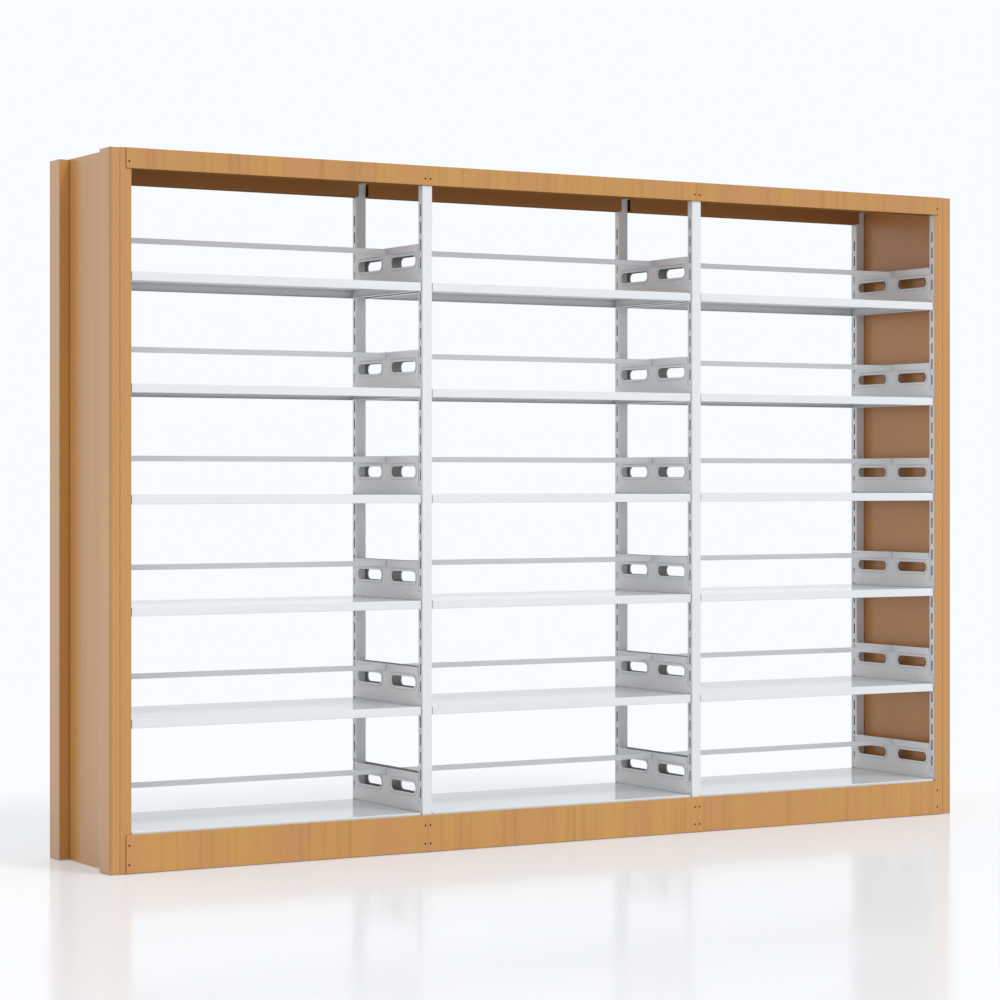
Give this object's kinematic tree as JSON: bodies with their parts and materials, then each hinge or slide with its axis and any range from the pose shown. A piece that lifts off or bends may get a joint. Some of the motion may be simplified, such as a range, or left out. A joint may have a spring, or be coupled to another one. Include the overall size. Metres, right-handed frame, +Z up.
{
  "type": "library shelving",
  "caption": "Free-standing library shelving, open at both faces: slotted uprights, wood-grain end panels, fascias and kick plates, lift-off shelves on hooked end plates with stop bars.",
  "frame": {"origin": "middle of the footprint, on the floor", "axes": "+X along the row to the right as the picture shows it, +Y from the front to the back, +Z up"},
  "size_m": [3.102, 0.476, 2.111],
  "materials": {
    "white_powder_coat": "satin powder coat, white",
    "wood_grain_fascia": "transfer-printed wood grain on steel",
    "wood_grain_panel": "transfer-printed wood grain on steel",
    "zinc_screw": "zinc plated",
    "black_plastic": "moulded polyamide"
  },
  "bodies": {
    "frame": {"upright_1_front": "white_powder_coat", "upright_1_rear": "white_powder_coat", "upright_2_front": "white_powder_coat", "upright_2_rear": "white_powder_coat", "upright_3_front": "white_powder_coat", "upright_3_rear": "white_powder_coat", "upright_4_front": "white_powder_coat", "upright_4_rear": "white_powder_coat", "frame_rails": "white_powder_coat", "foot_caps": "black_plastic", "end_panel_left": "wood_grain_panel", "end_panel_right": "wood_grain_panel", "panel_mouldings": "wood_grain_panel", "top_cover_1": "wood_grain_fascia", "top_cover_2": "wood_grain_fascia", "top_cover_3": "wood_grain_fascia", "kick_plate_front_1": "wood_grain_fascia", "kick_plate_front_2": "wood_grain_fascia", "kick_plate_front_3": "wood_grain_fascia", "kick_plate_rear_1": "wood_grain_fascia", "kick_plate_rear_2": "wood_grain_fascia", "kick_plate_rear_3": "wood_grain_fascia", "top_cover_screws": "zinc_screw", "kick_plate_screws": "zinc_screw"},
    "hanger_b1_l1": {"hanger_bay1_level1": "white_powder_coat"},
    "shelf_b1_l1": {"shelf_bay1_level1": "white_powder_coat"},
    "hanger_b1_l2": {"hanger_bay1_level2": "white_powder_coat"},
    "shelf_b1_l2": {"shelf_bay1_level2": "white_powder_coat"},
    "hanger_b1_l3": {"hanger_bay1_level3": "white_powder_coat"},
    "shelf_b1_l3": {"shelf_bay1_level3": "white_powder_coat"},
    "hanger_b1_l4": {"hanger_bay1_level4": "white_powder_coat"},
    "shelf_b1_l4": {"shelf_bay1_level4": "white_powder_coat"},
    "hanger_b1_l5": {"hanger_bay1_level5": "white_powder_coat"},
    "shelf_b1_l5": {"shelf_bay1_level5": "white_powder_coat"},
    "hanger_b1_l6": {"hanger_bay1_level6": "white_powder_coat"},
    "shelf_b1_l6": {"shelf_bay1_level6": "white_powder_coat"},
    "hanger_b2_l1": {"hanger_bay2_level1": "white_powder_coat"},
    "shelf_b2_l1": {"shelf_bay2_level1": "white_powder_coat"},
    "hanger_b2_l2": {"hanger_bay2_level2": "white_powder_coat"},
    "shelf_b2_l2": {"shelf_bay2_level2": "white_powder_coat"},
    "hanger_b2_l3": {"hanger_bay2_level3": "white_powder_coat"},
    "shelf_b2_l3": {"shelf_bay2_level3": "white_powder_coat"},
    "hanger_b2_l4": {"hanger_bay2_level4": "white_powder_coat"},
    "shelf_b2_l4": {"shelf_bay2_level4": "white_powder_coat"},
    "hanger_b2_l5": {"hanger_bay2_level5": "white_powder_coat"},
    "shelf_b2_l5": {"shelf_bay2_level5": "white_powder_coat"},
    "hanger_b2_l6": {"hanger_bay2_level6": "white_powder_coat"},
    "shelf_b2_l6": {"shelf_bay2_level6": "white_powder_coat"},
    "hanger_b3_l1": {"hanger_bay3_level1": "white_powder_coat"},
    "shelf_b3_l1": {"shelf_bay3_level1": "white_powder_coat"},
    "hanger_b3_l2": {"hanger_bay3_level2": "white_powder_coat"},
    "shelf_b3_l2": {"shelf_bay3_level2": "white_powder_coat"},
    "hanger_b3_l3": {"hanger_bay3_level3": "white_powder_coat"},
    "shelf_b3_l3": {"shelf_bay3_level3": "white_powder_coat"},
    "hanger_b3_l4": {"hanger_bay3_level4": "white_powder_coat"},
    "shelf_b3_l4": {"shelf_bay3_level4": "white_powder_coat"},
    "hanger_b3_l5": {"hanger_bay3_level5": "white_powder_coat"},
    "shelf_b3_l5": {"shelf_bay3_level5": "white_powder_coat"},
    "hanger_b3_l6": {"hanger_bay3_level6": "white_powder_coat"},
    "shelf_b3_l6": {"shelf_bay3_level6": "white_powder_coat"}
  },
  "joints": [
    {"name": "unhook_hanger_b1_l1", "type": "slide", "parent": "frame", "child": "hanger_b1_l1", "axis": [0, 0, 1], "range_m": [0, 0.012]},
    {"name": "lift_shelf_b1_l1", "type": "slide", "parent": "hanger_b1_l1", "child": "shelf_b1_l1", "axis": [0, 0, 1], "range_m": [0, 0.1]},
    {"name": "unhook_hanger_b1_l2", "type": "slide", "parent": "frame", "child": "hanger_b1_l2", "axis": [0, 0, 1], "range_m": [0, 0.012]},
    {"name": "lift_shelf_b1_l2", "type": "slide", "parent": "hanger_b1_l2", "child": "shelf_b1_l2", "axis": [0, 0, 1], "range_m": [0, 0.1]},
    {"name": "unhook_hanger_b1_l3", "type": "slide", "parent": "frame", "child": "hanger_b1_l3", "axis": [0, 0, 1], "range_m": [0, 0.012]},
    {"name": "lift_shelf_b1_l3", "type": "slide", "parent": "hanger_b1_l3", "child": "shelf_b1_l3", "axis": [0, 0, 1], "range_m": [0, 0.1]},
    {"name": "unhook_hanger_b1_l4", "type": "slide", "parent": "frame", "child": "hanger_b1_l4", "axis": [0, 0, 1], "range_m": [0, 0.012]},
    {"name": "lift_shelf_b1_l4", "type": "slide", "parent": "hanger_b1_l4", "child": "shelf_b1_l4", "axis": [0, 0, 1], "range_m": [0, 0.1]},
    {"name": "unhook_hanger_b1_l5", "type": "slide", "parent": "frame", "child": "hanger_b1_l5", "axis": [0, 0, 1], "range_m": [0, 0.012]},
    {"name": "lift_shelf_b1_l5", "type": "slide", "parent": "hanger_b1_l5", "child": "shelf_b1_l5", "axis": [0, 0, 1], "range_m": [0, 0.1]},
    {"name": "unhook_hanger_b1_l6", "type": "slide", "parent": "frame", "child": "hanger_b1_l6", "axis": [0, 0, 1], "range_m": [0, 0.012]},
    {"name": "lift_shelf_b1_l6", "type": "slide", "parent": "hanger_b1_l6", "child": "shelf_b1_l6", "axis": [0, 0, 1], "range_m": [0, 0.1]},
    {"name": "unhook_hanger_b2_l1", "type": "slide", "parent": "frame", "child": "hanger_b2_l1", "axis": [0, 0, 1], "range_m": [0, 0.012]},
    {"name": "lift_shelf_b2_l1", "type": "slide", "parent": "hanger_b2_l1", "child": "shelf_b2_l1", "axis": [0, 0, 1], "range_m": [0, 0.1]},
    {"name": "unhook_hanger_b2_l2", "type": "slide", "parent": "frame", "child": "hanger_b2_l2", "axis": [0, 0, 1], "range_m": [0, 0.012]},
    {"name": "lift_shelf_b2_l2", "type": "slide", "parent": "hanger_b2_l2", "child": "shelf_b2_l2", "axis": [0, 0, 1], "range_m": [0, 0.1]},
    {"name": "unhook_hanger_b2_l3", "type": "slide", "parent": "frame", "child": "hanger_b2_l3", "axis": [0, 0, 1], "range_m": [0, 0.012]},
    {"name": "lift_shelf_b2_l3", "type": "slide", "parent": "hanger_b2_l3", "child": "shelf_b2_l3", "axis": [0, 0, 1], "range_m": [0, 0.1]},
    {"name": "unhook_hanger_b2_l4", "type": "slide", "parent": "frame", "child": "hanger_b2_l4", "axis": [0, 0, 1], "range_m": [0, 0.012]},
    {"name": "lift_shelf_b2_l4", "type": "slide", "parent": "hanger_b2_l4", "child": "shelf_b2_l4", "axis": [0, 0, 1], "range_m": [0, 0.1]},
    {"name": "unhook_hanger_b2_l5", "type": "slide", "parent": "frame", "child": "hanger_b2_l5", "axis": [0, 0, 1], "range_m": [0, 0.012]},
    {"name": "lift_shelf_b2_l5", "type": "slide", "parent": "hanger_b2_l5", "child": "shelf_b2_l5", "axis": [0, 0, 1], "range_m": [0, 0.1]},
    {"name": "unhook_hanger_b2_l6", "type": "slide", "parent": "frame", "child": "hanger_b2_l6", "axis": [0, 0, 1], "range_m": [0, 0.012]},
    {"name": "lift_shelf_b2_l6", "type": "slide", "parent": "hanger_b2_l6", "child": "shelf_b2_l6", "axis": [0, 0, 1], "range_m": [0, 0.1]},
    {"name": "unhook_hanger_b3_l1", "type": "slide", "parent": "frame", "child": "hanger_b3_l1", "axis": [0, 0, 1], "range_m": [0, 0.012]},
    {"name": "lift_shelf_b3_l1", "type": "slide", "parent": "hanger_b3_l1", "child": "shelf_b3_l1", "axis": [0, 0, 1], "range_m": [0, 0.1]},
    {"name": "unhook_hanger_b3_l2", "type": "slide", "parent": "frame", "child": "hanger_b3_l2", "axis": [0, 0, 1], "range_m": [0, 0.012]},
    {"name": "lift_shelf_b3_l2", "type": "slide", "parent": "hanger_b3_l2", "child": "shelf_b3_l2", "axis": [0, 0, 1], "range_m": [0, 0.1]},
    {"name": "unhook_hanger_b3_l3", "type": "slide", "parent": "frame", "child": "hanger_b3_l3", "axis": [0, 0, 1], "range_m": [0, 0.012]},
    {"name": "lift_shelf_b3_l3", "type": "slide", "parent": "hanger_b3_l3", "child": "shelf_b3_l3", "axis": [0, 0, 1], "range_m": [0, 0.1]},
    {"name": "unhook_hanger_b3_l4", "type": "slide", "parent": "frame", "child": "hanger_b3_l4", "axis": [0, 0, 1], "range_m": [0, 0.012]},
    {"name": "lift_shelf_b3_l4", "type": "slide", "parent": "hanger_b3_l4", "child": "shelf_b3_l4", "axis": [0, 0, 1], "range_m": [0, 0.1]},
    {"name": "unhook_hanger_b3_l5", "type": "slide", "parent": "frame", "child": "hanger_b3_l5", "axis": [0, 0, 1], "range_m": [0, 0.012]},
    {"name": "lift_shelf_b3_l5", "type": "slide", "parent": "hanger_b3_l5", "child": "shelf_b3_l5", "axis": [0, 0, 1], "range_m": [0, 0.1]},
    {"name": "unhook_hanger_b3_l6", "type": "slide", "parent": "frame", "child": "hanger_b3_l6", "axis": [0, 0, 1], "range_m": [0, 0.012]},
    {"name": "lift_shelf_b3_l6", "type": "slide", "parent": "hanger_b3_l6", "child": "shelf_b3_l6", "axis": [0, 0, 1], "range_m": [0, 0.1]}
  ]
}
